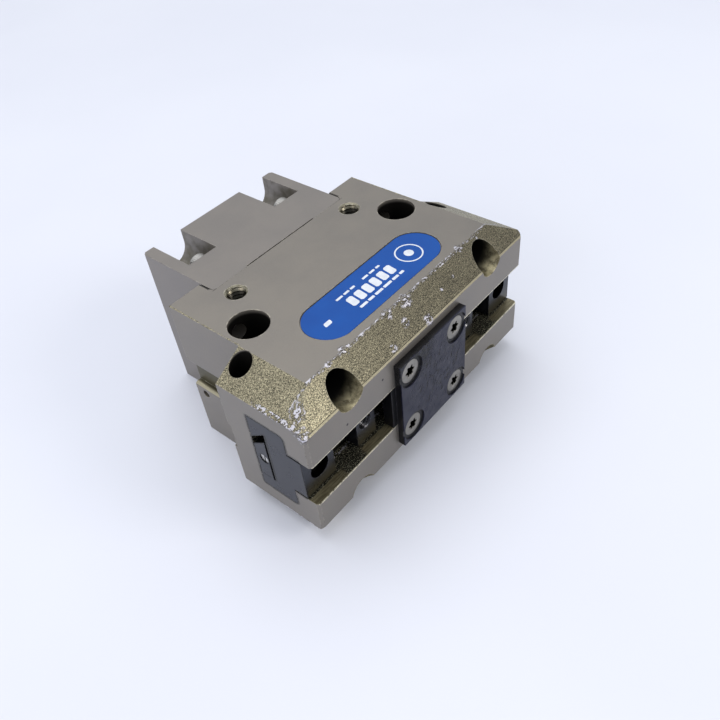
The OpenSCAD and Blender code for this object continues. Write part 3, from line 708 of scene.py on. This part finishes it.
def gathered(parts):
    """Several (vertices, faces) as one."""
    verts, faces = [], []
    for part_verts, part_faces in parts:
        faces += [tuple(i + len(verts) for i in face) for face in part_faces]
        verts += part_verts
    return verts, faces


def hexagon(across):
    def radius(angle):
        third = math.pi / 3
        return across / 2 / math.cos((angle % third) - third / 2)
    return radius


def star(size):
    return lambda angle: size * (0.83 + 0.17 * math.cos(6 * angle))


def knurled(size, ridges, depth):
    return lambda angle: size - depth * (0.5 + 0.5 * math.cos(ridges * angle))


def socket_screw(origin, out, reach):
    """M4 socket head: seat at height 0, shank down to -reach, knurled side, hexagon socket."""
    ridged = knurled(3.5, 36, 0.10)
    rings = [(1.6, -reach), (2.0, -reach + 0.4), (2.0, 0), (3.3, 0), (3.46, 0.12), (3.46, 0.5),
             (ridged, 0.6), (ridged, 3.2), (3.44, 3.3), (3.42, 3.6), (3.30, 3.85), (3.05, 4.0),
             (2.02, 4.0), (hexagon(3.6), 3.9), (hexagon(3.46), 3.75), (hexagon(3.46), 2.0),
             (0.4, 1.6)]
    return lofted(standing(origin, out), rings, 144)


def flat_screw(origin, out, reach):
    """M4 countersunk head with a six-lobed recess; its face is at height 0."""
    rings = [(1.6, -reach), (2.0, -reach + 0.4), (2.0, -1.72), (3.45, -0.27), (3.66, -0.14),
             (3.62, -0.04), (3.52, 0.0), (2.35, 0.0), (star(2.12), -0.02),
             (star(1.98), -0.16), (star(1.88), -1.6), (0.3, -1.9)]
    return lofted(standing(origin, out), rings, 96)


def thread(origin, out, radius, cut, pitch, depth, turn_steps=40):
    """A bush that fits a plain bore and shows a thread, with a bevelled mouth at height 0."""
    spot = standing(origin, out)
    shell, top, low = radius - 0.01, -0.45, -depth
    rows = 2 * int(depth / pitch) + 4
    verts, faces, columns = [], [], []
    for j in range(turn_steps + 1):
        angle = math.tau * j / turn_steps
        profile = [(shell, low), (shell, -0.03), (shell - 0.02, -0.03), (radius - cut, top)]
        for i in range(rows):
            height = pitch * (0.5 - i / 2 - j / turn_steps)
            wall = radius - (cut if i % 2 else 0.04)
            profile.append((wall, min(top, max(low, top + height))))
        profile.append((radius - cut, low))
        columns.append(len(verts))
        verts += [spot(r, angle, h) for r, h in profile]
    size = len(profile)
    for a, b in zip(columns, columns[1:]):
        for i in range(size):
            k = (i + 1) % size
            faces.append((a + i, b + i, b + k, a + k))
    return verts, faces


CORNERS = [(sx, sz) for sx in (-1, 1) for sz in (-1, 1)]


def screws():
    """The four socket screws of the cover and the four countersunk ones of the plate."""
    socket_r, socket_h, flat_r = 3.5, 4.0, 3.7
    low, high = (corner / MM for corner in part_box("cover_screws"))
    x, z, seat = high.x - socket_r, high.z - MID - socket_r, high.y - socket_h
    parts = [socket_screw((sx * x, seat, MID + sz * z), (0, 1, 0), seat - low.y)
             for sx, sz in CORNERS]
    heads = piece("cover_socket_screws", *gathered(parts), "body", "zinc_steel", ZINC)
    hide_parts("cover_screws")
    low, high = (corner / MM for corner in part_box("plate_screws"))
    x, z = high.x - flat_r, high.z - MID - flat_r
    parts = [flat_screw((sx * x, low.y, MID + sz * z), (0, -1, 0), high.y - low.y)
             for sx, sz in CORNERS]
    flats = piece("plate_flat_screws", *gathered(parts), "body", "zinc_steel", PLATE_SCREW)
    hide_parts("plate_screws")


def threads():
    """Threads in the tapped holes: radius, depth of cut, pitch and length of each in mm."""
    tapped, port, finger = (TAP_R, 0.55, 1.25, 11.9), (2.1, 0.35, 0.8, 5.4), (2.5, 0.42, 1.0)
    parts = [thread((sx * TAP[0], TAP[1], MID + sz * MID), (0, 0, sz), *tapped)
             for sx, sz in CORNERS]
    piece("body_threads", *gathered(parts), "body", "housing_metal", THREAD)
    parts = [thread((NECK, y, z), (1, 0, 0), *port) for y, z in ((8.6, 36), (4.4, 14))]
    piece("port_threads", *gathered(parts), "body", "housing_metal", THREAD)
    thread_end, seat_d = 14.4, 2.5
    for side, name in ((-1, "left"), (1, "right")):
        parts = [thread((side * x, RAIL + depth, MID), (0, -1, 0), *finger, thread_end - depth)
                 for x, depth in ((INNER_HOLE, JAW_D), (OUTER_HOLE, JAW_D + seat_d))]
        piece("finger_threads_" + name, *gathered(parts), name + "_jaw", "jaw_steel", JAW_THREAD)


INK_LOW, INK_HIGH = 0.005, 0.03    # height of the print over the label, in mm
# Places along the label and lengths of the dashes above and below the bars, in mm
UPPER_DASHES = [(-10.6, 2.6), (-7.6, 2.2), (-5.0, 1.8), (0.6, 2.4), (3.6, 2.2), (6.2, 1.6)]
LOWER_DASHES = [(-8.8, 3.0), (-5.6, 2.4), (-2.2, 3.2), (1.6, 3.4), (5.2, 2.6), (8.0, 1.8)]


def printed_bar(x, y, ground, length, height, slant=0.0):
    """A bar with cut corners, which leans by slant."""
    corner = 0.18 * min(length, height)
    outline = []
    for cx, cy in ((1, 1), (-1, 1), (-1, -1), (1, -1)):
        ex, ey = cx * length / 2, cy * height / 2
        pair = [(ex, ey - cy * corner), (ex - cx * corner, ey)]
        outline += pair if cx * cy > 0 else pair[::-1]
    n = len(outline)
    verts = [(x + u + slant * v, y + v, ground + h)
             for h in (INK_LOW, INK_HIGH) for u, v in outline]
    faces = [tuple(range(n))[::-1], tuple(range(n, 2 * n))]
    faces += [(i, (i + 1) % n, n + (i + 1) % n, n + i) for i in range(n)]
    return verts, faces


def printed_ring(spot, outer, inner, steps=72):
    rings = [(outer, INK_LOW), (outer, INK_HIGH), (inner, INK_HIGH), (inner, INK_LOW)]
    verts, faces = lofted(spot, rings, steps)
    last = 3 * steps
    closing = [(last + i, last + (i + 1) % steps, (i + 1) % steps, i) for i in range(steps)]
    return verts, faces[:-2] + closing


def label_print():
    """Plain bars, dashes and a ring in white on the label: no lettering."""
    low, high = (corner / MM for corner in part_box("type_label"))
    middle, ground = (low.y + high.y) / 2, high.z
    parts = [printed_bar(-9.4 + 3.3 * i, middle - 0.2, ground, 2.5, 3.9, 0.12) for i in range(6)]
    parts += [printed_bar(x, middle + 3.6, ground, length, 0.75) for x, length in UPPER_DASHES]
    parts += [printed_bar(x, middle - 3.7, ground, length, 0.9) for x, length in LOWER_DASHES]
    parts.append(printed_bar(-20.2, middle - 0.6, ground, 2.6, 1.5, 0.3))
    spot = standing((16.4, middle, ground), (0, 0, 1))
    parts.append(printed_ring(spot, 4.3, 3.85))
    parts.append(lofted(spot, [(1.5, INK_LOW), (1.5, INK_HIGH)], 48))
    piece("label_print", *gathered(parts), "body", "label_film", INK)


def springs():
    """Copies of the two springs on the body, each with a mesh of its own; the imported ones are
    hidden.
    """
    for side in ("left", "right"):
        name = "opening_spring_" + side
        coil = bpy.data.objects.new(name + "_coil", NODES[name].data.copy())
        bpy.context.scene.collection.objects.link(coil)
        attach(coil, "body")
        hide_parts(name)
        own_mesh(coil)


screws()
threads()
label_print()
springs()


# ---------------------------------------------------------------- stage, light and camera
def table():
    f = Finish("pale_table", (0.70, 0.73, 0.81), 0.0, 0.55)
    cloud = f.patches(180, 0.3, 0.7, rough=0.5)
    f.set("Base Color", f.mix(cloud, (0.688, 0.712, 0.798), (0.714, 0.738, 0.820)))
    half = 3.0
    mesh = bpy.data.meshes.new("table_top")
    corners = [(-half, -half, 0), (half, -half, 0), (half, half, 0), (-half, half, 0)]
    mesh.from_pydata(corners, [], [(0, 1, 2, 3)])
    top = bpy.data.objects.new("table_top", mesh)
    top.location.z = -0.02 * MM
    bpy.context.scene.collection.objects.link(top)
    paint(top, f.mat)


def room():
    """An even pale room, a little darker low down on the front right."""
    world = bpy.data.worlds.new("soft_studio")
    world.use_nodes = True
    tree = world.node_tree
    back = tree.nodes["Background"]
    back.inputs["Strength"].default_value = 0.80
    ray = tree.nodes.new("ShaderNodeTexCoord")
    dot = tree.nodes.new("ShaderNodeVectorMath")
    dot.operation = "DOT_PRODUCT"
    dot.inputs[1].default_value = Vector((0.75, -0.60, 0.28)).normalized()
    tree.links.new(ray.outputs["Generated"], dot.inputs[0])
    fade = tree.nodes.new("ShaderNodeMapRange")
    fade.interpolation_type = "SMOOTHSTEP"
    fade.inputs[1].default_value = 0.70
    fade.inputs[2].default_value = 1.0
    tree.links.new(dot.outputs["Value"], fade.inputs[0])
    color = tree.nodes.new("ShaderNodeMix")
    color.data_type = "RGBA"
    color.inputs[6].default_value = (0.92, 0.95, 1.0, 1)
    color.inputs[7].default_value = (0.30, 0.30, 0.31, 1)
    tree.links.new(fade.outputs[0], color.inputs[0])
    tree.links.new(color.outputs[2], back.inputs["Color"])
    bpy.context.scene.world = world


def lamp(name, at, size, power, color):
    """A round soft light that points at the object."""
    data = bpy.data.lights.new(name, "AREA")
    data.shape = "DISK"
    data.size = size
    data.energy = power
    data.color = color
    obj = bpy.data.objects.new(name, data)
    obj.location = at
    obj.rotation_euler = (-Vector(at)).to_track_quat("-Z", "Y").to_euler()
    bpy.context.scene.collection.objects.link(obj)


def camera():
    """At the photograph's place: left of the finger side, looking down 44 degrees."""
    data = bpy.data.cameras.new("photo_camera")
    data.sensor_width = 36
    data.lens = 36.28
    data.clip_start = 0.01
    obj = bpy.data.objects.new("photo_camera", data)
    at = Vector((-0.1189, -0.1304, 0.1780))
    aim = Vector((-0.00703, -0.02174, 0.026))
    turn = (aim - at).to_track_quat("-Z", "Y")
    roll = Quaternion((0, 0, 1), math.radians(-6.89))
    obj.matrix_world = Matrix.Translation(at) @ (turn @ roll).to_matrix().to_4x4()
    bpy.context.scene.collection.objects.link(obj)
    bpy.context.scene.camera = obj


table()
room()
lamp("ceiling", (0.10, 0.35, 1.25), 1.4, 7.0, (1.0, 0.99, 0.97))
lamp("front_fill", (0.34, -0.80, 0.58), 0.40, 3.0, (1.0, 0.955, 0.905))
lamp("left_fill", (-1.00, 0.10, 0.42), 0.80, 3.3, (1.0, 0.945, 0.960))
bpy.context.scene.view_settings.view_transform = "Standard"
camera()
